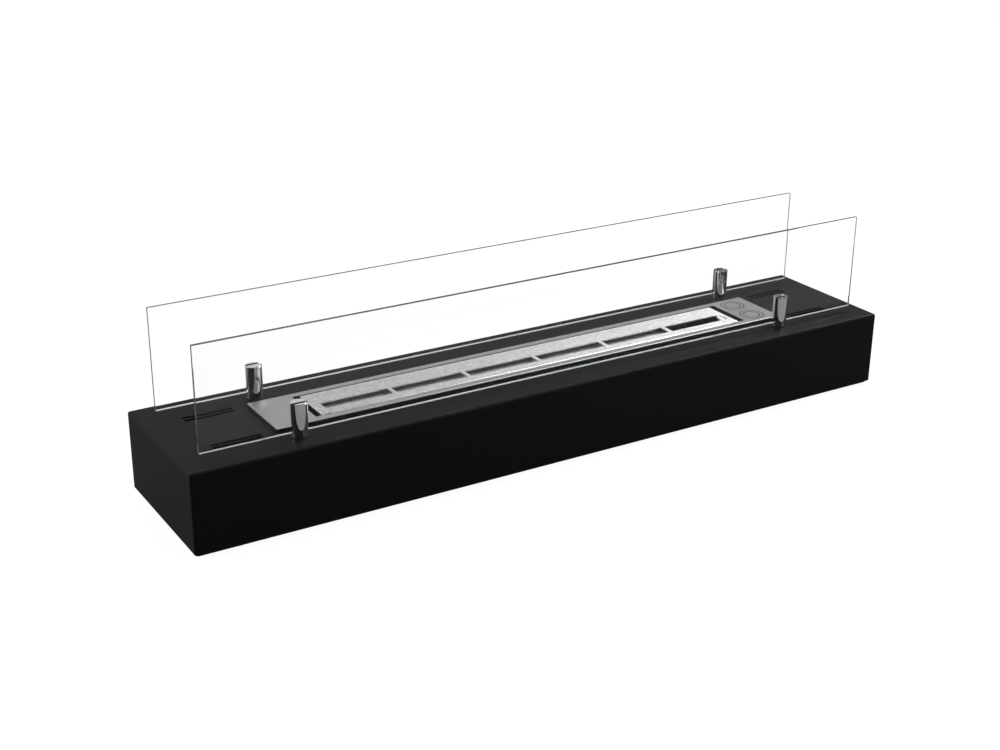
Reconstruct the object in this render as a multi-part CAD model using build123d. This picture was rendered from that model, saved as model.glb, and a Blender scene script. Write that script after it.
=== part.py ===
from build123d import *
from math import cos, radians, sin
import os

# Bioethanol fireplace: a long low steel box with a drop-in burner between two glass panes.
# Millimetres. The origin is on the floor under the middle of the box.
# +X runs along the length to the right, -Y is the front, +Z is up.

# ---------------------------------------------------------------- driving dimensions

# Casing: folded and welded sheet, open below with a return flange all round.
CASE_LENGTH = 900.0
CASE_DEPTH = 180.0
CASE_HEIGHT = 90.0
CASE_SHEET = 1.5
CASE_BEND = 2.5
RETURN_WIDTH = 18.0

# Cooling slots in the casing's top: a pair in front and a pair behind, at each end.
VENT_LENGTH = 55.5
VENT_WIDTH = 4.0
VENT_PITCH = 7.0
VENT_END_GAP = 43.0
VENT_ROW_SPACING = 77.0

# Base plate, its screws and the feet.
BASE_SHEET = 1.5
BASE_INSET = 3.0
BASE_VENT_LENGTH = 50.0
BASE_VENT_WIDTH = 3.5
BASE_VENT_PITCH = 74.0
BASE_VENT_COUNT = 10
BASE_VENT_ROW_SPACING = 44.0
BASE_SCREW_DIAMETER = 4.0
BASE_SCREW_LENGTH = 6.0
BASE_SCREW_ACROSS_FLATS = 7.0
BASE_SCREW_HEAD_HEIGHT = 1.6
BASE_SCREW_END_INSET = 50.0
BASE_SCREWS_PER_SIDE = 2
FOOT_HEIGHT = 2.5
FOOT_DIAMETER = 22.0
FOOT_INSET_X = 32.0
FOOT_INSET_Y = 27.0
FOOT_CHAMFER = 0.6

# Glass panes and the slotted posts that hold them.
PANE_END_GAP = 21.0
PANE_HEIGHT = 115.0
PANE_THICKNESS = 4.0
PANE_LIFT = 6.5
PANE_SIDE_GAP = 29.0
PANE_CORNER = 1.5
PANE_ARRIS = 0.4
POST_DIAMETER = 18.5
POST_HEIGHT = 37.5
POST_END_GAP = 131.5
POST_INBOARD = 2.6
POST_EDGE = 0.5
LINER_THICKNESS = 0.45
LINER_LENGTH = 13.0
LINER_DROP = 1.0
PANE_CLEARANCE = 0.05

# Fasteners of the posts.
BOLT_DIAMETER = 6.0
BOLT_LENGTH = 6.0
BOLT_HEAD_HEIGHT = 4.0
BOLT_ACROSS_FLATS = 10.0
BOLT_CLEARANCE = 0.2
THREAD_GAP = 0.05
SET_SCREW_DIAMETER = 5.0
SET_SCREW_LENGTH = 8.0
SET_SCREW_HEIGHT = 24.0
SET_SCREW_TIP_GAP = 0.05
SET_SCREW_SOCKET = 2.5
SET_SCREW_SOCKET_DEPTH = 3.0

# Burner trim: a frame of four welded plates that rests on the casing and hides its cut-out.
WELL_LENGTH = 575.0
WELL_WIDTH = 60.5
TRIM_PAD = 48.5
TRIM_BORDER = 8.75
TRIM_SHEET = 1.5
TRIM_HEIGHT = 3.5
TRIM_BEND = 1.0

# Outer pan under the trim, and the bearers on its floor.
PAN_SHEET = 1.2
PAN_DEPTH = 60.0
PAN_BEND = 2.5
RIM_GAP = 1.0
CUTOUT_CLEARANCE = 1.8
BEARER_HEIGHT = 4.0
BEARER_WIDTH = 20.0
BEARER_SHEET = 1.0
BEARER_SPACING = 400.0
BEARER_END_GAP = 5.0

# Reservoir with its folded lid.
TANK_END_GAP = 8.0
TANK_SIDE_GAP = 1.5
TANK_SHEET = 1.0
TANK_BEND = 1.5
COVER_SHEET = 1.5
COVER_SKIRT = 9.0
COVER_BEND = 1.2
SLOT_END_MARGIN = 10.5
SLOT_WIDTH = 17.2
SLOT_FORWARD = 7.7
RIB_COUNT = 5
RIB_WIDTH = 5.0
END_WINDOW = 83.0
TONGUE_LENGTH = 9.5
TONGUE_ANGLE = 66.0
TONGUE_SIDE_GAP = 0.4
HOOK_SLIT_LENGTH = 13.0
HOOK_SLIT_WIDTH = 2.0
HOOK_SLIT_GAP = 1.0

# Wool packing and the perforated baffle beside the filling window.
WOOL_DROP = 2.5
WOOL_END_GAP = 0.5
BAFFLE_SHEET = 1.0
BAFFLE_FOOT = 12.0
BAFFLE_HOLE_SIZE = 4.0
BAFFLE_HOLE_PITCH = 8.0
BAFFLE_HOLE_ROWS = 5
BAFFLE_HOLE_COLUMNS = 5
BAFFLE_SIDE_GAP = 0.5

# ---------------------------------------------------------------- derived sizes and levels

BASE_TOP = FOOT_HEIGHT + BASE_SHEET
CASE_TOP = BASE_TOP + CASE_HEIGHT
TRIM_TOP = CASE_TOP + TRIM_HEIGHT
TRIM_UNDERSIDE = TRIM_TOP - TRIM_SHEET
TRIM_LENGTH = WELL_LENGTH + 2 * TRIM_PAD
TRIM_WIDTH = WELL_WIDTH + 2 * TRIM_BORDER

PAN_LENGTH = WELL_LENGTH + 2 * PAN_SHEET
PAN_WIDTH = WELL_WIDTH + 2 * PAN_SHEET
PAN_FLOOR = TRIM_TOP - PAN_DEPTH
PAN_BOTTOM = PAN_FLOOR - PAN_SHEET
CUTOUT_LENGTH = PAN_LENGTH + 2 * CUTOUT_CLEARANCE
CUTOUT_WIDTH = PAN_WIDTH + 2 * CUTOUT_CLEARANCE

COVER_LENGTH = WELL_LENGTH - 2 * TANK_END_GAP
COVER_WIDTH = WELL_WIDTH - 2 * TANK_SIDE_GAP
COVER_TOP = TRIM_TOP
COVER_UNDERSIDE = COVER_TOP - COVER_SHEET
TANK_LENGTH = COVER_LENGTH - 2 * COVER_SHEET
TANK_WIDTH = COVER_WIDTH - 2 * COVER_SHEET
TANK_BOTTOM = PAN_FLOOR + BEARER_HEIGHT
TANK_FLOOR = TANK_BOTTOM + TANK_SHEET
SLOT_END = COVER_LENGTH / 2 - SLOT_END_MARGIN
LAST_RIB = SLOT_END - END_WINDOW
RIB_PITCH = 2 * LAST_RIB / (RIB_COUNT - 1)

PANE_LENGTH = CASE_LENGTH - 2 * PANE_END_GAP
PANE_BOTTOM = CASE_TOP + PANE_LIFT
PANE_MID_Y = CASE_DEPTH / 2 - PANE_SIDE_GAP
POST_X = CASE_LENGTH / 2 - POST_END_GAP
POST_Y = PANE_MID_Y - POST_INBOARD
POST_SLOT_WIDTH = PANE_THICKNESS + 2 * (LINER_THICKNESS + PANE_CLEARANCE)
POST_SLOT_FLOOR = PANE_LIFT - LINER_THICKNESS - PANE_CLEARANCE
POST_SLOT_INNER = POST_INBOARD - POST_SLOT_WIDTH / 2

SIDES = {"left": -1, "right": 1}
ENDS = {"front": -1, "back": 1}


# ---------------------------------------------------------------- shared shapes

def span_box(x_range, y_range, z_range):
    """A box between two limits on each axis."""
    size = [high - low for low, high in (x_range, y_range, z_range)]
    middle = [(high + low) / 2 for low, high in (x_range, y_range, z_range)]
    return Pos(*middle) * Box(*size)


def centred_box(length, width, bottom, top, centre=(0.0, 0.0)):
    """A box of a given plan size between two levels."""
    return Pos(centre[0], centre[1], (bottom + top) / 2) * Box(length, width, top - bottom)


def cylinder_up(radius, bottom, top, centre=(0.0, 0.0)):
    """An upright cylinder between two levels."""
    return Pos(centre[0], centre[1], (bottom + top) / 2) * Cylinder(radius, top - bottom)


def evenly_spaced(count, pitch):
    """Positions of a row that is centred on zero."""
    return [(index - (count - 1) / 2) * pitch for index in range(count)]


def corner_points(half_length, half_width):
    """The four corners of a rectangle that is centred on the origin."""
    return [(x * half_length, y * half_width) for x in (-1, 1) for y in (-1, 1)]


# ---------------------------------------------------------------- casing and base

def base_screw_points():
    """Screws in the middle of the front and back return flanges."""
    first = CASE_LENGTH / 2 - BASE_SCREW_END_INSET
    pitch = 2 * first / (BASE_SCREWS_PER_SIDE - 1)
    row_y = CASE_DEPTH / 2 - RETURN_WIDTH / 2
    return [(x, side * row_y) for side in (-1, 1) for x in evenly_spaced(BASE_SCREWS_PER_SIDE, pitch)]


def vent_points():
    """Centres of the eight cooling slots."""
    x = CASE_LENGTH / 2 - VENT_END_GAP - VENT_LENGTH / 2
    rows = [VENT_ROW_SPACING / 2 - VENT_PITCH / 2, VENT_ROW_SPACING / 2 + VENT_PITCH / 2]
    return [(side * x, end * row) for side in (-1, 1) for end in (-1, 1) for row in rows]


def make_casing():
    """Bent shell with a cut-out, cooling slots, post holes and an open underside."""
    shell = centred_box(CASE_LENGTH, CASE_DEPTH, BASE_TOP, CASE_TOP)
    shell = fillet(shell.edges(), CASE_BEND)
    shell -= centred_box(
        CASE_LENGTH - 2 * CASE_SHEET,
        CASE_DEPTH - 2 * CASE_SHEET,
        BASE_TOP + CASE_SHEET,
        CASE_TOP - CASE_SHEET,
    )
    open_length = CASE_LENGTH - 2 * RETURN_WIDTH
    open_width = CASE_DEPTH - 2 * RETURN_WIDTH
    shell -= centred_box(open_length, open_width, BASE_TOP - 1, BASE_TOP + 2 * CASE_SHEET)
    low, high = CASE_TOP - 2 * CASE_SHEET, CASE_TOP + 1
    shell -= centred_box(CUTOUT_LENGTH, CUTOUT_WIDTH, low, high)
    for point in vent_points():
        shell -= centred_box(VENT_LENGTH, VENT_WIDTH, low, high, point)
    for point in corner_points(POST_X, POST_Y):
        shell -= cylinder_up(BOLT_DIAMETER / 2 + BOLT_CLEARANCE, low, high, point)
    for point in base_screw_points():
        radius = BASE_SCREW_DIAMETER / 2 + THREAD_GAP
        shell -= cylinder_up(radius, BASE_TOP - 1, BASE_TOP + 2 * CASE_SHEET, point)
    return shell


def make_base_plate():
    """Flat plate under the casing with two rows of square-ended air slots."""
    plate = centred_box(
        CASE_LENGTH - 2 * BASE_INSET, CASE_DEPTH - 2 * BASE_INSET, FOOT_HEIGHT, BASE_TOP
    )
    plate = fillet(plate.edges().filter_by(Axis.Z), BASE_INSET)
    low, high = FOOT_HEIGHT - 1, BASE_TOP + 1
    for side in (-1, 1):
        for x in evenly_spaced(BASE_VENT_COUNT, BASE_VENT_PITCH):
            centre = (x, side * BASE_VENT_ROW_SPACING / 2)
            plate -= centred_box(BASE_VENT_LENGTH, BASE_VENT_WIDTH, low, high, centre)
    for point in base_screw_points():
        plate -= cylinder_up(BASE_SCREW_DIAMETER / 2 + BOLT_CLEARANCE, low, high, point)
    return plate


def make_base_screws():
    """Low hexagon-headed screws up through the base plate into the return flanges."""
    hexagon = RegularPolygon(BASE_SCREW_ACROSS_FLATS / 2, 6, major_radius=False)
    head_low = FOOT_HEIGHT - BASE_SCREW_HEAD_HEIGHT
    shank_top = FOOT_HEIGHT + BASE_SCREW_LENGTH
    screws = []
    for point in base_screw_points():
        head = Pos(point[0], point[1], head_low) * extrude(hexagon, BASE_SCREW_HEAD_HEIGHT)
        screws.append(head + cylinder_up(BASE_SCREW_DIAMETER / 2, FOOT_HEIGHT, shank_top, point))
    return Compound(children=screws)


def make_feet():
    """Round rubber feet stuck under the corners of the base plate."""
    feet = []
    for point in corner_points(CASE_LENGTH / 2 - FOOT_INSET_X, CASE_DEPTH / 2 - FOOT_INSET_Y):
        foot = cylinder_up(FOOT_DIAMETER / 2, 0, FOOT_HEIGHT, point)
        feet.append(chamfer(foot.edges().group_by(Axis.Z)[0], FOOT_CHAMFER))
    return Compound(children=feet)


# ---------------------------------------------------------------- panes and posts

def make_pane(end):
    """Tempered pane on its long edge, with rounded corners and ground arrises."""
    face = Plane.XZ * RectangleRounded(PANE_LENGTH, PANE_HEIGHT, PANE_CORNER)
    pane = extrude(face, PANE_THICKNESS / 2, both=True)
    rims = pane.faces().filter_by(Axis.Y).edges()
    pane = chamfer(rims, PANE_ARRIS)
    return Pos(0, end * PANE_MID_Y, PANE_BOTTOM + PANE_HEIGHT / 2) * pane


def place_on_post(piece, side, end):
    """Move a piece from the post's own frame, in which the pane lies on the +Y side."""
    turn = 0 if end > 0 else 180
    return Pos(side * POST_X, end * POST_Y, CASE_TOP) * Rot(0, 0, turn) * piece


def post_slot(width, floor, top):
    """The space sawn out of a post: centred on the pane and open at both sides."""
    return centred_box(2 * POST_DIAMETER, width, floor, top, (0, POST_INBOARD))


def set_screw_axis_cylinder(radius, inner_y, outer_y):
    """A cylinder along Y at the height of the set screw, in the post's own frame."""
    length = outer_y - inner_y
    return Pos(0, (inner_y + outer_y) / 2, SET_SCREW_HEIGHT) * Rot(90, 0, 0) * Cylinder(radius, length)


def make_post(side, end):
    """Turned post: sawn slot for the pane, cross hole for the set screw, blind hole below."""
    post = cylinder_up(POST_DIAMETER / 2, 0, POST_HEIGHT)
    post = chamfer(post.edges().group_by(Axis.Z)[-1], POST_EDGE)
    post -= post_slot(POST_SLOT_WIDTH, POST_SLOT_FLOOR, POST_HEIGHT + 1)
    radius = SET_SCREW_DIAMETER / 2 + THREAD_GAP
    post -= set_screw_axis_cylinder(radius, -POST_DIAMETER, POST_SLOT_INNER + PANE_THICKNESS / 2)
    bolt_tip = BOLT_LENGTH - CASE_SHEET
    post -= cylinder_up(BOLT_DIAMETER / 2 + THREAD_GAP, -1, bolt_tip + THREAD_GAP)
    return place_on_post(post, side, end)


def make_slot_liner(side, end):
    """Soft U-shaped liner between the post's slot and the pane."""
    outside = centred_box(
        LINER_LENGTH,
        PANE_THICKNESS + 2 * (LINER_THICKNESS + PANE_CLEARANCE),
        POST_SLOT_FLOOR,
        POST_HEIGHT - LINER_DROP,
        (0, POST_INBOARD),
    )
    inside = post_slot(
        PANE_THICKNESS + 2 * PANE_CLEARANCE, POST_SLOT_FLOOR + LINER_THICKNESS, POST_HEIGHT + 1
    )
    return place_on_post(outside - inside, side, end)


def make_set_screw(side, end):
    """Grub screw with a hexagon socket, its tip against the liner."""
    tip_y = POST_SLOT_INNER - SET_SCREW_TIP_GAP
    head_y = tip_y - SET_SCREW_LENGTH
    screw = set_screw_axis_cylinder(SET_SCREW_DIAMETER / 2, head_y, tip_y)
    socket_face = RegularPolygon(SET_SCREW_SOCKET / 2, 6, major_radius=False)
    socket = extrude(socket_face, SET_SCREW_SOCKET_DEPTH)
    screw -= Pos(0, head_y, SET_SCREW_HEIGHT) * Rot(-90, 0, 0) * socket
    return place_on_post(screw, side, end)


def make_post_bolt(side, end):
    """Hexagon bolt up through the casing's top into the post."""
    hexagon = RegularPolygon(BOLT_ACROSS_FLATS / 2, 6, major_radius=False)
    head = Pos(0, 0, -CASE_SHEET - BOLT_HEAD_HEIGHT) * extrude(hexagon, BOLT_HEAD_HEIGHT)
    shank = cylinder_up(BOLT_DIAMETER / 2, -CASE_SHEET, BOLT_LENGTH - CASE_SHEET)
    return place_on_post(head + shank, side, end)


def for_each_post(make_piece):
    """One piece at each of the four posts, as a group of separate solids."""
    return Compound(children=[make_piece(side, end) for side in (-1, 1) for end in (-1, 1)])


# ---------------------------------------------------------------- burner

def make_burner_trim():
    """Two end pads and two rails with turned-down outer edges, welded round the well."""
    frame = centred_box(TRIM_LENGTH, TRIM_WIDTH, CASE_TOP, TRIM_TOP)
    frame = fillet(frame.edges().filter_by(Axis.Z) + frame.edges().group_by(Axis.Z)[-1], TRIM_BEND)
    frame -= centred_box(
        TRIM_LENGTH - 2 * TRIM_SHEET, TRIM_WIDTH - 2 * TRIM_SHEET, CASE_TOP - 1, TRIM_UNDERSIDE
    )
    pad_x = (WELL_LENGTH + TRIM_PAD) / 2
    rail_y = (WELL_WIDTH + TRIM_BORDER) / 2
    plates = []
    for side in (-1, 1):
        plates.append(frame & centred_box(TRIM_PAD, TRIM_WIDTH, CASE_TOP, TRIM_TOP, (side * pad_x, 0)))
        plates.append(frame & centred_box(WELL_LENGTH, TRIM_BORDER, CASE_TOP, TRIM_TOP, (0, side * rail_y)))
    return Compound(children=plates)


def make_burner_pan():
    """Outer safety pan with a rim that is welded under the trim."""
    rim_length = TRIM_LENGTH - 2 * (TRIM_SHEET + RIM_GAP)
    rim_width = TRIM_WIDTH - 2 * (TRIM_SHEET + RIM_GAP)
    rim = centred_box(rim_length, rim_width, TRIM_UNDERSIDE - PAN_SHEET, TRIM_UNDERSIDE)
    body = centred_box(PAN_LENGTH, PAN_WIDTH, PAN_BOTTOM, TRIM_UNDERSIDE)
    body = fillet(body.edges().group_by(Axis.Z)[0], PAN_BEND)
    return rim + body - centred_box(WELL_LENGTH, WELL_WIDTH, PAN_FLOOR, TRIM_TOP)


def make_pan_bearers():
    """Two inverted channels across the pan that the reservoir stands on."""
    length = WELL_WIDTH - 2 * BEARER_END_GAP
    bearers = []
    for x in evenly_spaced(2, BEARER_SPACING):
        channel = centred_box(BEARER_WIDTH, length, PAN_FLOOR, TANK_BOTTOM, (x, 0))
        inner_width = BEARER_WIDTH - 2 * BEARER_SHEET
        inner_top = TANK_BOTTOM - BEARER_SHEET
        channel -= centred_box(inner_width, length + 1, PAN_FLOOR - 1, inner_top, (x, 0))
        bearers.append(channel)
    return Compound(children=bearers)


def make_fuel_tank():
    """Open-topped reservoir that stands in the pan."""
    tank = centred_box(TANK_LENGTH, TANK_WIDTH, TANK_BOTTOM, COVER_UNDERSIDE)
    tank = fillet(tank.edges().group_by(Axis.Z)[0], TANK_BEND)
    return tank - centred_box(
        TANK_LENGTH - 2 * TANK_SHEET, TANK_WIDTH - 2 * TANK_SHEET, TANK_FLOOR, COVER_TOP
    )


def make_tongue():
    """Tongue bent down from the right end of the slot into the filling window."""
    reach_x = TONGUE_LENGTH * cos(radians(TONGUE_ANGLE))
    reach_z = TONGUE_LENGTH * sin(radians(TONGUE_ANGLE))
    across_x = COVER_SHEET * sin(radians(TONGUE_ANGLE))
    across_z = COVER_SHEET * cos(radians(TONGUE_ANGLE))
    side_view = Polyline(
        (SLOT_END, COVER_TOP),
        (SLOT_END - reach_x, COVER_TOP - reach_z),
        (SLOT_END - reach_x + across_x, COVER_TOP - reach_z - across_z),
        (SLOT_END + across_x, COVER_TOP - across_z),
        close=True,
    )
    width = SLOT_WIDTH - 2 * TONGUE_SIDE_GAP
    face = make_face(Plane.XZ * side_view)
    return Pos(0, -SLOT_FORWARD, 0) * extrude(face, width / 2, both=True)


def make_tank_cover():
    """Folded lid: turned-down skirt, long slot with bridging ribs, tongue and hook slit."""
    cover = centred_box(COVER_LENGTH, COVER_WIDTH, COVER_TOP - COVER_SKIRT, COVER_TOP)
    cover = fillet(cover.edges().filter_by(Axis.Z) + cover.edges().group_by(Axis.Z)[-1], COVER_BEND)
    cover -= centred_box(TANK_LENGTH, TANK_WIDTH, COVER_TOP - COVER_SKIRT - 1, COVER_UNDERSIDE)
    low, high = COVER_UNDERSIDE - 1, COVER_TOP + 1
    slot = centred_box(2 * SLOT_END, SLOT_WIDTH, low, high, (0, -SLOT_FORWARD))
    for x in evenly_spaced(RIB_COUNT, RIB_PITCH):
        slot -= centred_box(RIB_WIDTH, SLOT_WIDTH, low, high, (x, -SLOT_FORWARD))
    cover -= slot
    cover += make_tongue()
    slit_x = SLOT_END + HOOK_SLIT_GAP + HOOK_SLIT_WIDTH / 2
    slit_y = -SLOT_FORWARD - (SLOT_WIDTH - HOOK_SLIT_LENGTH) / 2
    return cover - centred_box(
        HOOK_SLIT_WIDTH, HOOK_SLIT_LENGTH, COVER_UNDERSIDE - COVER_SKIRT, high, (slit_x, slit_y)
    )


def make_ceramic_wool():
    """Fibre packing under the five left-hand windows."""
    left = -TANK_LENGTH / 2 + TANK_SHEET + WOOL_END_GAP
    right = LAST_RIB - BAFFLE_SHEET / 2
    half_width = TANK_WIDTH / 2 - TANK_SHEET - WOOL_END_GAP
    top = COVER_UNDERSIDE - WOOL_DROP
    return span_box((left, right), (-half_width, half_width), (TANK_FLOOR, top))


def make_wool_baffle():
    """Plate with square perforations on a bent foot, below the last rib of the slot."""
    half_width = TANK_WIDTH / 2 - TANK_SHEET - BAFFLE_SIDE_GAP
    face_low, face_high = LAST_RIB - BAFFLE_SHEET / 2, LAST_RIB + BAFFLE_SHEET / 2
    wall = span_box((face_low, face_high), (-half_width, half_width), (TANK_FLOOR, COVER_UNDERSIDE))
    foot = span_box(
        (face_high, face_high + BAFFLE_FOOT),
        (-half_width, half_width),
        (TANK_FLOOR, TANK_FLOOR + BAFFLE_SHEET),
    )
    plate = wall + foot
    middle = (TANK_FLOOR + COVER_UNDERSIDE) / 2
    for y in evenly_spaced(BAFFLE_HOLE_COLUMNS, BAFFLE_HOLE_PITCH):
        for rise in evenly_spaced(BAFFLE_HOLE_ROWS, BAFFLE_HOLE_PITCH):
            hole = Box(4 * BAFFLE_SHEET, BAFFLE_HOLE_SIZE, BAFFLE_HOLE_SIZE)
            plate -= Pos(LAST_RIB, y, middle + rise) * hole
    return plate


# ---------------------------------------------------------------- write one file per piece

def all_pieces():
    """Every piece by the name of its file."""
    pieces = {
        "casing": make_casing(),
        "base_plate": make_base_plate(),
        "base_screws": make_base_screws(),
        "feet": make_feet(),
        "slot_liners": for_each_post(make_slot_liner),
        "post_bolts": for_each_post(make_post_bolt),
        "burner_trim": make_burner_trim(),
        "burner_pan": make_burner_pan(),
        "pan_bearers": make_pan_bearers(),
        "fuel_tank": make_fuel_tank(),
        "tank_cover": make_tank_cover(),
        "ceramic_wool": make_ceramic_wool(),
        "wool_baffle": make_wool_baffle(),
    }
    for end_name, end in ENDS.items():
        pieces[f"glass_{end_name}"] = make_pane(end)
        for side_name, side in SIDES.items():
            pieces[f"post_{end_name}_{side_name}"] = make_post(side, end)
            pieces[f"set_screw_{end_name}_{side_name}"] = make_set_screw(side, end)
    return pieces


os.makedirs("parts", exist_ok=True)
for name, piece in all_pieces().items():
    export_step(piece, f"parts/{name}.step")
    print(name, "volume", round(piece.volume, 1))
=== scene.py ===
import math

import bmesh
import bpy
from mathutils import Matrix, Vector, noise


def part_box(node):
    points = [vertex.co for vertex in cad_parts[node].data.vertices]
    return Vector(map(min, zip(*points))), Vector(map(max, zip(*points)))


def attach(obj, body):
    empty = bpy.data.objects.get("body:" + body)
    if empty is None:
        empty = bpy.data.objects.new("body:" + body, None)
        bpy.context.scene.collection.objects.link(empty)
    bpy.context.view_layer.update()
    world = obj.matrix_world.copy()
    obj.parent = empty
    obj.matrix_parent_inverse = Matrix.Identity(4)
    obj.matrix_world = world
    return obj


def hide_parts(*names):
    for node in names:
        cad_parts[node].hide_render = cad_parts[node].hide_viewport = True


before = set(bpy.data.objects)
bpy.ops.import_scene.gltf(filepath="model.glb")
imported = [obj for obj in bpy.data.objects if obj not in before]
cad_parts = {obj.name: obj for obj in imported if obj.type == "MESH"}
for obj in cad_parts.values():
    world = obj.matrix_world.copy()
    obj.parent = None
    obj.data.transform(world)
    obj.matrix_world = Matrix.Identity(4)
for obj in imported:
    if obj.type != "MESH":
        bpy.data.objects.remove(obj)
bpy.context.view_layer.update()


# ---------------------------------------------------------------- casing and base plate
# A long low box of 1.5 mm sheet, folded, welded and ground at its corners, with a satin black
# powder coat. The base plate has the same coat and is screwed to the casing's inward flanges.
COAT_COLOUR = (0.0014, 0.0014, 0.0015)
COAT_COLOUR_WORN = (0.0026, 0.0026, 0.0027)
COAT_ROUGHNESS = (0.46, 0.55)
COAT_IOR = 1.24
COAT_GRAIN = 1100.0
COAT_CLOUDS = 14.0
COAT_RELIEF = 0.00007
PATTERN_LOW = 0.3
PATTERN_HIGH = 0.7


def set_sockets(node, sockets):
    """Sets some of a node's inputs by name, with _ for a space."""
    for name, value in sockets.items():
        node.inputs[name.replace("_", " ")].default_value = value


def new_material(name, **sockets):
    """A finish with one surface shader. Returns the material, its node tree and that shader."""
    material = bpy.data.materials.new(name)
    material.use_nodes = True
    tree = material.node_tree
    shader = tree.nodes["Principled BSDF"]
    set_sockets(shader, sockets)
    return material, tree, shader


def add_node(tree, kind, **sockets):
    """A new node with some of its inputs set."""
    node = tree.nodes.new(kind)
    set_sockets(node, sockets)
    return node


def surface_noise(tree, scale, detail, stretch=(1.0, 1.0, 1.0)):
    """Noise that sits on the piece itself. A stretch below 1 draws it out along that axis."""
    place = tree.nodes.new("ShaderNodeTexCoord")
    mapping = add_node(tree, "ShaderNodeMapping", Scale=stretch)
    pattern = add_node(tree, "ShaderNodeTexNoise", Scale=scale, Detail=detail)
    tree.links.new(place.outputs["Object"], mapping.inputs["Vector"])
    tree.links.new(mapping.outputs["Vector"], pattern.inputs["Vector"])
    return pattern.outputs["Fac"]


def shade_between(tree, pattern, dark, light):
    """A colour that follows a pattern from dark to light."""
    ramp = tree.nodes.new("ShaderNodeValToRGB")
    ends = ((PATTERN_LOW, dark), (PATTERN_HIGH, light))
    for element, (position, colour) in zip(ramp.color_ramp.elements, ends):
        element.position = position
        element.color = (*colour, 1.0)
    tree.links.new(pattern, ramp.inputs["Fac"])
    return ramp.outputs["Color"]


def vary_colour(tree, shader, pattern, dark, light):
    """Gives the finish a colour that follows a pattern."""
    tree.links.new(shade_between(tree, pattern, dark, light), shader.inputs["Base Color"])


def vary_roughness(tree, shader, pattern, ends):
    """Gives the finish a roughness that follows a pattern between two ends."""
    spread = add_node(
        tree, "ShaderNodeMapRange",
        From_Min=PATTERN_LOW, From_Max=PATTERN_HIGH, To_Min=ends[0], To_Max=ends[1],
    )
    tree.links.new(pattern, spread.inputs["Value"])
    tree.links.new(spread.outputs["Result"], shader.inputs["Roughness"])


def add_relief(tree, shader, pattern, depth):
    """Lets the surface rise and sink with a pattern. The depth is in metres."""
    bump = add_node(tree, "ShaderNodeBump", Strength=1.0, Distance=depth)
    tree.links.new(pattern, bump.inputs["Height"])
    tree.links.new(bump.outputs["Normal"], shader.inputs["Normal"])


def finish_node(node, material):
    """Gives a part that comes from the CAD its finish."""
    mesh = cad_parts[node].data
    mesh.materials.clear()
    mesh.materials.append(material)


powder_coat, tree, shader = new_material("satin_black_powder_coat", IOR=COAT_IOR)
grain = surface_noise(tree, COAT_GRAIN, 3.0)
clouds = surface_noise(tree, COAT_CLOUDS, 3.0)
vary_colour(tree, shader, clouds, COAT_COLOUR, COAT_COLOUR_WORN)
vary_roughness(tree, shader, grain, COAT_ROUGHNESS)
add_relief(tree, shader, grain, COAT_RELIEF)
for node in ("casing", "base_plate"):
    finish_node(node, powder_coat)


# ---------------------------------------------------------------- feet and slot liners
# Black rubber: four round pads stuck under the corners of the base plate, and a liner folded
# round the pane's lower edge in each post, which keeps the glass off the steel.
RUBBER_DARK = (0.014, 0.014, 0.014)
RUBBER_LIGHT = (0.024, 0.024, 0.024)
RUBBER_ROUGHNESS = 0.8
RUBBER_GRAIN = 700.0
RUBBER_RELIEF = 0.00008
rubber, tree, shader = new_material("black_rubber", Roughness=RUBBER_ROUGHNESS)
grain = surface_noise(tree, RUBBER_GRAIN, 2.0)
vary_colour(tree, shader, grain, RUBBER_DARK, RUBBER_LIGHT)
add_relief(tree, shader, grain, RUBBER_RELIEF)
for node in ("feet", "slot_liners"):
    finish_node(node, rubber)


# ---------------------------------------------------------------- screws and bolts
# Zinc-plated steel: hexagon screws in the base plate, hexagon bolts up through the casing's top
# into the posts, and a grub screw across each post that holds the pane.
POSTS = ("front_left", "front_right", "back_left", "back_right")
ZINC_DARK = (0.32, 0.32, 0.31)
ZINC_LIGHT = (0.5, 0.5, 0.49)
ZINC_ROUGHNESS = (0.25, 0.45)
ZINC_GRAIN = 500.0
zinc, tree, shader = new_material("zinc_plated_steel", Metallic=1.0)
grain = surface_noise(tree, ZINC_GRAIN, 3.0)
vary_colour(tree, shader, grain, ZINC_DARK, ZINC_LIGHT)
vary_roughness(tree, shader, grain, ZINC_ROUGHNESS)
for node in ("base_screws", "post_bolts", *(f"set_screw_{post}" for post in POSTS)):
    finish_node(node, zinc)


# ---------------------------------------------------------------- posts
# Four turned and mirror-polished stainless posts, sawn from the top for the panes. Each stands
# in a thin ring of the black rubber finish: a dark sheet that paints the contact shadow at its
# foot.
POLISH_DARK = (0.8, 0.8, 0.81)
POLISH_LIGHT = (0.9, 0.9, 0.9)
POLISH_ROUGHNESS = (0.02, 0.05)
POLISH_SMEARS = 160.0
POLISH_STRETCH = (1.0, 1.0, 0.35)
SHADOW_RING_INSIDE = 0.0002
SHADOW_RING_OUTSIDE = 0.0005
SHADOW_RING_HEIGHT = 0.0007
SHADOW_RING_STEPS = 64
MERGE_DISTANCE = 1e-6

polished, tree, shader = new_material("mirror_polished_stainless", Metallic=1.0)
smear = surface_noise(tree, POLISH_SMEARS, 4.0, POLISH_STRETCH)
vary_colour(tree, shader, smear, POLISH_DARK, POLISH_LIGHT)
vary_roughness(tree, shader, smear, POLISH_ROUGHNESS)
for post in POSTS:
    finish_node(f"post_{post}", polished)


def object_from(mesh, name, materials):
    """Makes an object of a finished mesh and its materials."""
    data = bpy.data.meshes.new(name)
    mesh.to_mesh(data)
    mesh.free()
    for material in materials:
        data.materials.append(material)
    piece = bpy.data.objects.new(name, data)
    bpy.context.scene.collection.objects.link(piece)
    return piece


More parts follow.
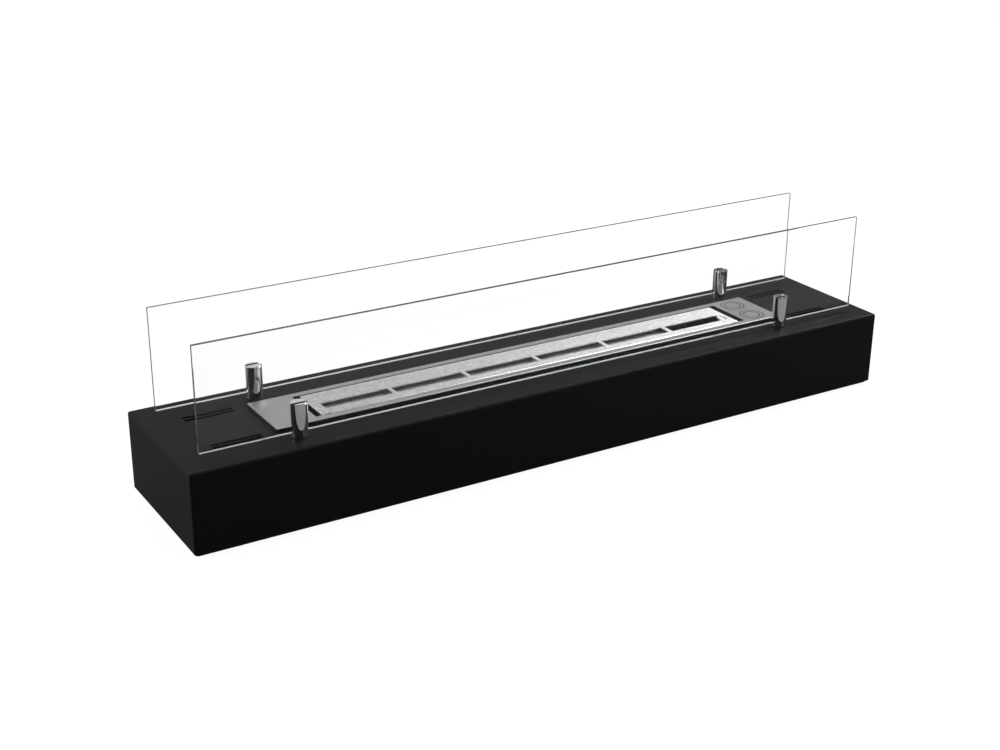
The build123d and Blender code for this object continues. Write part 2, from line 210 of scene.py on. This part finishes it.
def spin_round(mesh, section, centre, steps):
    """Spins a cross-section one full turn round an upright axis."""
    bmesh.ops.spin(
        mesh, geom=section, cent=centre, axis=(0, 0, 1),
        angle=2 * math.pi, steps=steps, use_merge=True,
    )


def contact_shadow_ring(post):
    """A square-edged ring round the post's foot, on the casing's top: a dark sheet of painted
    contact shadow.
    """
    low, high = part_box(f"post_{post}")
    middle = (low + high) / 2
    radius = (high.x - low.x) / 2
    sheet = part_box("casing")[1].z
    inner, outer = middle.x + radius - SHADOW_RING_INSIDE, middle.x + radius + SHADOW_RING_OUTSIDE
    corners = (
        (inner, sheet), (outer, sheet), (outer, sheet + SHADOW_RING_HEIGHT), (inner, sheet + SHADOW_RING_HEIGHT)
    )
    mesh = bmesh.new()
    section = [mesh.verts.new((x, middle.y, z)) for x, z in corners]
    edges = [mesh.edges.new((section[i - 1], section[i])) for i in range(len(section))]
    spin_round(mesh, section + edges, (middle.x, middle.y, sheet), SHADOW_RING_STEPS)
    bmesh.ops.remove_doubles(mesh, verts=mesh.verts, dist=MERGE_DISTANCE)
    bmesh.ops.recalc_face_normals(mesh, faces=mesh.faces)
    return mesh


# Painted shade: a thin black ring at each post's foot stands in for the contact shadow there.
for post in POSTS:
    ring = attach(object_from(contact_shadow_ring(post), f"contact_shadow_ring_{post}", (rubber,)), "casing")


# ---------------------------------------------------------------- glass panes
# Two tempered panes, 4 mm thick, cut square and ground along their edges. Each stands in the
# lined slots of two posts. The clear faces and the ground edges are two finishes of one piece.
PANE_CORNER = 0.0008
PANE_CORNER_STEPS = 4
PANE_ARRIS = 0.0004
PANE_TINT = (0.988, 0.997, 0.993, 1.0)
PANE_IOR = 1.32
EDGE_DARK = (0.72, 0.86, 0.8)
EDGE_LIGHT = (0.86, 0.95, 0.91)
EDGE_ROUGHNESS = (0.1, 0.22)
EDGE_CLEARNESS = 0.92
EDGE_IOR = 1.45
EDGE_GRIND = 900.0
NEARLY_ALONG = 0.9
FLAT_ON = 0.99


def mixed_shaders(tree, share, first, second):
    """The first shader where the share is 0, the second where it is 1."""
    mix = tree.nodes.new("ShaderNodeMixShader")
    for socket, value in zip(mix.inputs, (share, first, second)):
        tree.links.new(value, socket)
    return mix.outputs["Shader"]


# Light for the black top passes the glass straight, so that no pane throws a dark shadow.
clear_glass, tree, shader = new_material(
    "clear_tempered_glass",
    Base_Color=PANE_TINT, Roughness=0.0, Transmission_Weight=1.0, IOR=PANE_IOR,
)
shadow_ray = tree.nodes.new("ShaderNodeLightPath").outputs["Is Shadow Ray"]
open_way = tree.nodes.new("ShaderNodeBsdfTransparent").outputs["BSDF"]
surface = mixed_shaders(tree, shadow_ray, shader.outputs["BSDF"], open_way)
tree.links.new(surface, tree.nodes["Material Output"].inputs["Surface"])

ground_edge, tree, shader = new_material(
    "ground_glass_edge", Transmission_Weight=EDGE_CLEARNESS, IOR=EDGE_IOR
)
grind = surface_noise(tree, EDGE_GRIND, 2.0)
vary_colour(tree, shader, grind, EDGE_DARK, EDGE_LIGHT)
vary_roughness(tree, shader, grind, EDGE_ROUGHNESS)


def block_for(node):
    """A plain block that fills a node's box. Returns its mesh and the box's low and high corner."""
    low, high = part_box(node)
    mesh = bmesh.new()
    bmesh.ops.create_cube(mesh, size=1.0)
    bmesh.ops.scale(mesh, vec=high - low, verts=mesh.verts)
    bmesh.ops.translate(mesh, vec=(low + high) / 2, verts=mesh.verts)
    return mesh, low, high


def edges_along(mesh, axis):
    """The edges that run along one axis, "x" or "y"."""
    return [
        edge for edge in mesh.edges
        if abs(getattr((edge.verts[0].co - edge.verts[1].co).normalized(), axis)) > NEARLY_ALONG
    ]


def bevel_edges(mesh, edges, width, segments):
    """Rounds edges, or breaks them where there is one segment."""
    bmesh.ops.bevel(
        mesh, geom=edges, offset=width, offset_type="OFFSET", segments=segments,
        profile=0.5, affect="EDGES", material=-1,
    )


def make_pane(node):
    """A slab with rounded corners, whose ground rim has the second finish."""
    mesh, low, high = block_for(node)
    bevel_edges(mesh, edges_along(mesh, "y"), PANE_CORNER, PANE_CORNER_STEPS)
    rim = [
        edge for edge in mesh.edges
        if sum(abs(face.normal.y) > NEARLY_ALONG for face in edge.link_faces) == 1
    ]
    bevel_edges(mesh, rim, PANE_ARRIS, 1)
    for face in mesh.faces:
        face.material_index = 0 if abs(face.normal.y) > FLAT_ON else 1
    return mesh


for end in ("front", "back"):
    slab = object_from(make_pane(f"glass_{end}"), f"pane_{end}", (clear_glass, ground_edge))
    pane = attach(slab, f"glass_{end}")
    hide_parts(f"glass_{end}")


# ---------------------------------------------------------------- burner trim
# A frame of brushed stainless, welded from two end pads and two rails, that rests on the casing
# and hides its cut-out. Its rim below the top face is painted dark: painted shade that takes the
# highlight off its bends. Two plain rings are etched in its right pad.
TRIM_DARK = (0.42, 0.42, 0.415)
TRIM_LIGHT = (0.54, 0.54, 0.535)
TRIM_PAINTED_SHADE = (0.05, 0.05, 0.05)
TRIM_SHADE_FROM = 0.0006
TRIM_SHADE_TO = 0.0001
TRIM_ROUGHNESS = (0.37, 0.43)
TRIM_STROKES = 2600.0
TRIM_STRETCH = (0.03, 1.0, 1.0)
TRIM_RELIEF = 0.000003


def axis_between(tree, axis, low, high):
    """Goes from 0 at one place on the piece's axis to 1 at another, the same on its minus side."""
    place = tree.nodes.new("ShaderNodeTexCoord")
    apart = tree.nodes.new("ShaderNodeSeparateXYZ")
    size = tree.nodes.new("ShaderNodeMath")
    size.operation = "ABSOLUTE"
    rise = add_node(tree, "ShaderNodeMapRange", From_Min=low, From_Max=high)
    tree.links.new(place.outputs["Object"], apart.inputs["Vector"])
    tree.links.new(apart.outputs[axis], size.inputs[0])
    tree.links.new(size.outputs["Value"], rise.inputs["Value"])
    return rise.outputs["Result"]


def brushed_or_painted_shade(tree, share, bright, shade_colour):
    """A brushed colour where the share is 1 and a dark one, painted shade, where it is 0."""
    mix = tree.nodes.new("ShaderNodeMix")
    mix.data_type = "RGBA"
    mix.inputs["A"].default_value = (*shade_colour, 1.0)
    tree.links.new(share, mix.inputs["Factor"])
    tree.links.new(bright, mix.inputs["B"])
    return mix.outputs["Result"]


brushed_trim, tree, shader = new_material("brushed_stainless_trim", Metallic=1.0)
strokes = surface_noise(tree, TRIM_STROKES, 2.0, TRIM_STRETCH)
trim_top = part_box("burner_trim")[1].z
# Painted shade: the trim's rim below its top face, bends and cut edges, is coloured near black.
on_top = axis_between(tree, "Z", trim_top - TRIM_SHADE_FROM, trim_top - TRIM_SHADE_TO)
brushed = shade_between(tree, strokes, TRIM_DARK, TRIM_LIGHT)
tree.links.new(brushed_or_painted_shade(tree, on_top, brushed, TRIM_PAINTED_SHADE), shader.inputs["Base Color"])
vary_roughness(tree, shader, strokes, TRIM_ROUGHNESS)
add_relief(tree, shader, strokes, TRIM_RELIEF)
finish_node("burner_trim", brushed_trim)

ETCHED_CENTRES = ((0.3085, 0.0185), (0.3085, -0.0185))
ETCHED_RADII = (0.015, 0.0105)
ETCHED_LINE = 0.0012
ETCHED_PROUD = 0.00004
ETCHED_STEPS = 96
ETCHED_DARK = (0.03, 0.03, 0.03)
ETCHED_LIGHT = (0.06, 0.06, 0.059)
ETCHED_ROUGHNESS = 0.8
ETCHED_IOR = 1.1
ETCHED_SPECKLE = 2500.0
etched, tree, shader = new_material("etched_stainless", Roughness=ETCHED_ROUGHNESS, IOR=ETCHED_IOR)
speckle = surface_noise(tree, ETCHED_SPECKLE, 2.0)
vary_colour(tree, shader, speckle, ETCHED_DARK, ETCHED_LIGHT)


def etched_rings():
    """Flat rings a hair above the pad: a line's width, spun round each centre."""
    level = trim_top + ETCHED_PROUD
    mesh = bmesh.new()
    for x, y in ETCHED_CENTRES:
        for radius in ETCHED_RADII:
            inner = mesh.verts.new((x + radius - ETCHED_LINE, y, level))
            outer = mesh.verts.new((x + radius, y, level))
            line = mesh.edges.new((inner, outer))
            spin_round(mesh, [inner, outer, line], (x, y, trim_top), ETCHED_STEPS)
    bmesh.ops.remove_doubles(mesh, verts=mesh.verts, dist=MERGE_DISTANCE)
    for face in mesh.faces:
        if face.normal.z < 0:
            face.normal_flip()
    return mesh


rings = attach(object_from(etched_rings(), "etched_rings", (etched,)), "burner")


# ---------------------------------------------------------------- burner pan and bearers
# The outer safety pan, whose rim is welded under the trim, and the two channels across its floor
# that the reservoir stands on. Both are stainless sheet, painted dark: painted shade, so that the
# gap at the lid's right end shows black.
PAN_SHADE_DARK = (0.06, 0.06, 0.06)
PAN_SHADE_LIGHT = (0.13, 0.13, 0.128)
PAN_ROUGHNESS = (0.35, 0.5)
SHEET_PATCHES = 60.0
shade_darkened_steel, tree, shader = new_material("shade_darkened_stainless", Metallic=1.0)
patches = surface_noise(tree, SHEET_PATCHES, 4.0)
# Painted shade: the pan and its bearers are coloured near black.
vary_colour(tree, shader, patches, PAN_SHADE_DARK, PAN_SHADE_LIGHT)
vary_roughness(tree, shader, patches, PAN_ROUGHNESS)
for node in ("burner_pan", "pan_bearers"):
    finish_node(node, shade_darkened_steel)


# ---------------------------------------------------------------- reservoir and baffle
# The welded reservoir that stands in the pan, and the perforated plate in it beside the filling
# window, both in plain mill-finish stainless.
PLAIN_DARK = (0.24, 0.24, 0.235)
PLAIN_LIGHT = (0.34, 0.34, 0.335)
PLAIN_ROUGHNESS = (0.3, 0.45)
plain_steel, tree, shader = new_material("mill_finish_stainless", Metallic=1.0)
patches = surface_noise(tree, SHEET_PATCHES, 4.0)
vary_colour(tree, shader, patches, PLAIN_DARK, PLAIN_LIGHT)
vary_roughness(tree, shader, patches, PLAIN_ROUGHNESS)
for node in ("fuel_tank", "wool_baffle"):
    finish_node(node, plain_steel)


# ---------------------------------------------------------------- tank cover
# The reservoir's folded stainless lid, brushed along its length, with a long slot bridged by
# five ribs. Its skirt and the walls of the hook slit at its right end are painted dark: painted
# shade for the gap round the lid and for the slit.
COVER_DARK = (0.62, 0.62, 0.61)
COVER_LIGHT = (0.95, 0.95, 0.94)
COVER_PAINTED_SHADE = (0.04, 0.04, 0.04)
COVER_ROUGHNESS = (0.3, 0.4)
COVER_BRUSHING = 0.75
COVER_STROKES = 620.0
COVER_STRETCH = (0.4, 1.0, 1.0)
COVER_MOTTLE = 600.0
COVER_RELIEF = 0.000012
COVER_SKIRT_FROM = 0.004
COVER_SKIRT_TO = 0.0013
COVER_FACE_FROM = 0.0004
COVER_FACE_TO = 0.0001
SLIT_OUTER_FROM = 0.004
SLIT_OUTER_TO = 0.003
SLIT_INNER_FROM = 0.0098
SLIT_INNER_TO = 0.01


def combined(tree, operation, first, second):
    """Two values, each a socket or a number, put together by one operation."""
    result = tree.nodes.new("ShaderNodeMath")
    result.operation = operation
    for socket, value in zip(result.inputs, (first, second)):
        if isinstance(value, float):
            socket.default_value = value
        else:
            tree.links.new(value, socket)
    return result.outputs["Value"]


brushed_cover, tree, shader = new_material(
    "brushed_stainless_cover", Metallic=1.0, Anisotropic=COVER_BRUSHING
)
across = add_node(tree, "ShaderNodeCombineXYZ", Y=1.0)
tree.links.new(across.outputs["Vector"], shader.inputs["Tangent"])
strokes = surface_noise(tree, COVER_STROKES, 4.0, COVER_STRETCH)
mottle = surface_noise(tree, COVER_MOTTLE, 3.0)
cover_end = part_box("tank_cover")[1]
# Painted shade: below the top face, the skirt and the walls of the hook slit are coloured near
# black.
past_slit = axis_between(tree, "X", cover_end.x - SLIT_OUTER_FROM, cover_end.x - SLIT_OUTER_TO)
before_slit = axis_between(tree, "X", cover_end.x - SLIT_INNER_FROM, cover_end.x - SLIT_INNER_TO)
top_face = axis_between(tree, "Z", cover_end.z - COVER_FACE_FROM, cover_end.z - COVER_FACE_TO)
above_skirt = axis_between(tree, "Z", cover_end.z - COVER_SKIRT_FROM, cover_end.z - COVER_SKIRT_TO)
no_slit = combined(tree, "MAXIMUM", top_face, combined(tree, "MAXIMUM", past_slit, before_slit))
unshaded_cover = combined(tree, "MINIMUM", no_slit, above_skirt)
brushed = shade_between(tree, strokes, COVER_DARK, COVER_LIGHT)
tree.links.new(brushed_or_painted_shade(tree, unshaded_cover, brushed, COVER_PAINTED_SHADE), shader.inputs["Base Color"])
vary_roughness(tree, shader, mottle, COVER_ROUGHNESS)
add_relief(tree, shader, strokes, COVER_RELIEF)
finish_node("tank_cover", brushed_cover)


# ---------------------------------------------------------------- ceramic wool
# Pale fibre packing that holds the liquid under the five left-hand windows. It is laid in by
# hand, so its top is lumpy and lies lower towards the back.
WOOL_STEP = 0.0016
WOOL_SINK = 0.0035
WOOL_DIP = 0.00048
WOOL_LUMP = 0.0003
LUMPS_PER_METRE = 140.0
TUFTS_PER_METRE = 320.0
TUFT_SHARE = 0.6
WOOL_DARK = (0.36, 0.36, 0.35)
WOOL_LIGHT = (0.62, 0.62, 0.61)
WOOL_ROUGHNESS = 0.95
WOOL_CLUMPS = 160.0
WOOL_FIBRES = 900.0
WOOL_STRETCH = (0.5, 1.0, 1.0)
WOOL_RELIEF = 0.0004
wool, tree, shader = new_material("ceramic_wool", Roughness=WOOL_ROUGHNESS)
fibres = surface_noise(tree, WOOL_FIBRES, 5.0, WOOL_STRETCH)
clumps = surface_noise(tree, WOOL_CLUMPS, 5.0)
vary_colour(tree, shader, clumps, WOOL_DARK, WOOL_LIGHT)
add_relief(tree, shader, fibres, WOOL_RELIEF)


def make_wool():
    """A block with a finely divided top, a little lumpy and pressed down towards the back."""
    mesh, low, high = block_for("ceramic_wool")
    for axis in ("x", "y"):
        cuts = int((getattr(high, axis) - getattr(low, axis)) / WOOL_STEP)
        edges = edges_along(mesh, axis)
        bmesh.ops.subdivide_edges(mesh, edges=edges, cuts=cuts, use_grid_fill=True)
    for vert in mesh.verts:
        if vert.co.z > high.z - MERGE_DISTANCE:
            lump = noise.noise(vert.co * LUMPS_PER_METRE)
            tuft = noise.noise(vert.co * TUFTS_PER_METRE)
            pressed = WOOL_SINK * (vert.co.y - low.y) / (high.y - low.y)
            vert.co.z = high.z - pressed - WOOL_DIP + WOOL_LUMP * (lump + TUFT_SHARE * tuft)
    return mesh


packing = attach(object_from(make_wool(), "wool_packing", (wool,)), "tank")
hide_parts("ceramic_wool")


# ---------------------------------------------------------------- studio
# A grey floor, a soft surround that is brightest behind the hearth on the left, and four soft
# lamps. The camera sees floor and surround as plain white, straight and through the panes, and
# in reflections on metal and glass it sees a share of that white.
WHITE = (1.0, 1.0, 1.0, 1.0)
FLOOR_SIZE = 6.0
FLOOR_COLOUR = (0.12, 0.12, 0.12, 1.0)
FLOOR_ROUGHNESS = 0.9
FLOOR_WHITE = 0.96
FLOOR_TURNS = 0.5
MIRRORED_SHARE = 0.16


def share_of_white(tree, turns):
    """1 for a ray with fewer turns than given, less for a mirrored ray, 0 for a lamp's light."""
    rays = tree.nodes.new("ShaderNodeLightPath").outputs
    turned = combined(tree, "SUBTRACT", rays["Ray Depth"], rays["Transmission Depth"])
    unturned = combined(tree, "LESS_THAN", turned, turns)
    through = combined(tree, "MULTIPLY", rays["Is Transmission Ray"], unturned)
    straight = combined(tree, "MAXIMUM", rays["Is Camera Ray"], through)
    mirrored = combined(tree, "MAXIMUM", rays["Is Glossy Ray"], rays["Is Transmission Ray"])
    share = combined(tree, "MULTIPLY", mirrored, MIRRORED_SHARE)
    return combined(tree, "MAXIMUM", straight, share)


floor_paint, tree, shader = new_material(
    "floor_paint", Base_Color=FLOOR_COLOUR, Roughness=FLOOR_ROUGHNESS, Emission_Color=WHITE
)
glow = combined(tree, "MULTIPLY", share_of_white(tree, FLOOR_TURNS), FLOOR_WHITE)
tree.links.new(glow, shader.inputs["Emission Strength"])
mesh = bmesh.new()
bmesh.ops.create_grid(mesh, x_segments=1, y_segments=1, size=FLOOR_SIZE / 2)
object_from(mesh, "studio_floor", (floor_paint,))

SURROUND_LOW = 0.02
SURROUND_HIGH = 0.64
SURROUND_HEADING = -30.0
SURROUND_FROM = 0.28
SURROUND_TO = 0.6
SURROUND_WHITE = 1.04
# A ray's turns are counted one higher where it reaches the surround.
SURROUND_TURNS = 1.5
world = bpy.data.worlds.new("surround")
world.use_nodes = True
bpy.context.scene.world = world
tree = world.node_tree
soft = tree.nodes["Background"]
soft.inputs["Color"].default_value = WHITE
direction = tree.nodes.new("ShaderNodeTexCoord")
towards = tree.nodes.new("ShaderNodeVectorMath")
towards.operation = "DOT_PRODUCT"
heading = math.radians(SURROUND_HEADING)
towards.inputs[1].default_value = (math.sin(heading), math.cos(heading), 0.0)
level = add_node(
    tree, "ShaderNodeMapRange",
    From_Min=SURROUND_FROM, From_Max=SURROUND_TO, To_Min=SURROUND_LOW, To_Max=SURROUND_HIGH,
)
level.interpolation_type = "SMOOTHSTEP"
tree.links.new(direction.outputs["Generated"], towards.inputs[0])
tree.links.new(towards.outputs["Value"], level.inputs["Value"])
tree.links.new(level.outputs["Result"], soft.inputs["Strength"])
white = add_node(tree, "ShaderNodeBackground", Color=WHITE, Strength=SURROUND_WHITE)
surface = mixed_shaders(
    tree, share_of_white(tree, SURROUND_TURNS),
    soft.outputs["Background"], white.outputs["Background"],
)
tree.links.new(surface, tree.nodes["World Output"].inputs["Surface"])


def add_lamp(name, heading, rise, distance, size, power):
    """A rectangular soft lamp that faces the middle of the floor. Angles in degrees."""
    data = bpy.data.lights.new(name, "AREA")
    data.shape = "RECTANGLE"
    data.size, data.size_y = size
    data.energy = power
    lamp = bpy.data.objects.new(name, data)
    turn, up = math.radians(heading), math.radians(rise)
    away = Vector((math.sin(turn) * math.cos(up), math.cos(turn) * math.cos(up), math.sin(up)))
    lamp.location = away * distance
    lamp.rotation_euler = away.to_track_quat("Z", "Y").to_euler()
    lamp.visible_camera = False
    bpy.context.scene.collection.objects.link(lamp)


# The right lamp brightens the brushed cover towards its right end. The two low lamps reach the
# casing's left and front faces.
add_lamp("right_lamp", heading=80.0, rise=48.0, distance=2.5, size=(1.2, 1.3), power=38.0)
add_lamp("overhead_lamp", heading=0.0, rise=88.0, distance=2.5, size=(1.6, 0.5), power=6.0)
add_lamp("left_lamp", heading=-62.0, rise=9.0, distance=4.0, size=(2.7, 1.6), power=42.0)
add_lamp("front_right_lamp", heading=148.0, rise=12.0, distance=4.0, size=(1.6, 1.5), power=26.0)


# ---------------------------------------------------------------- camera
# Stands in front of the hearth on the left and looks down on it, as the photograph was taken.
# Lengths in metres, the lens in millimetres, angles in degrees.
CAMERA_PLACE = (-0.9120, -1.4126, 0.7661)
CAMERA_HEADING = 31.60
CAMERA_DIP = 22.40
CAMERA_ROLL = 0.486
CAMERA_LENS = 56.67
CAMERA_SENSOR = 36.0
CAMERA_REACH = 100.0
lens = bpy.data.cameras.new("photo_camera")
lens.lens = CAMERA_LENS
lens.sensor_width = CAMERA_SENSOR
lens.clip_end = CAMERA_REACH
camera = bpy.data.objects.new("photo_camera", lens)
turn = Matrix.Rotation(math.radians(-CAMERA_HEADING), 4, "Z")
tilt = Matrix.Rotation(math.radians(90.0 - CAMERA_DIP), 4, "X")
roll = Matrix.Rotation(math.radians(CAMERA_ROLL), 4, "Z")
camera.matrix_world = Matrix.Translation(CAMERA_PLACE) @ turn @ tilt @ roll
bpy.context.scene.collection.objects.link(camera)
bpy.context.scene.camera = camera

bpy.context.scene.view_settings.view_transform = "Standard"
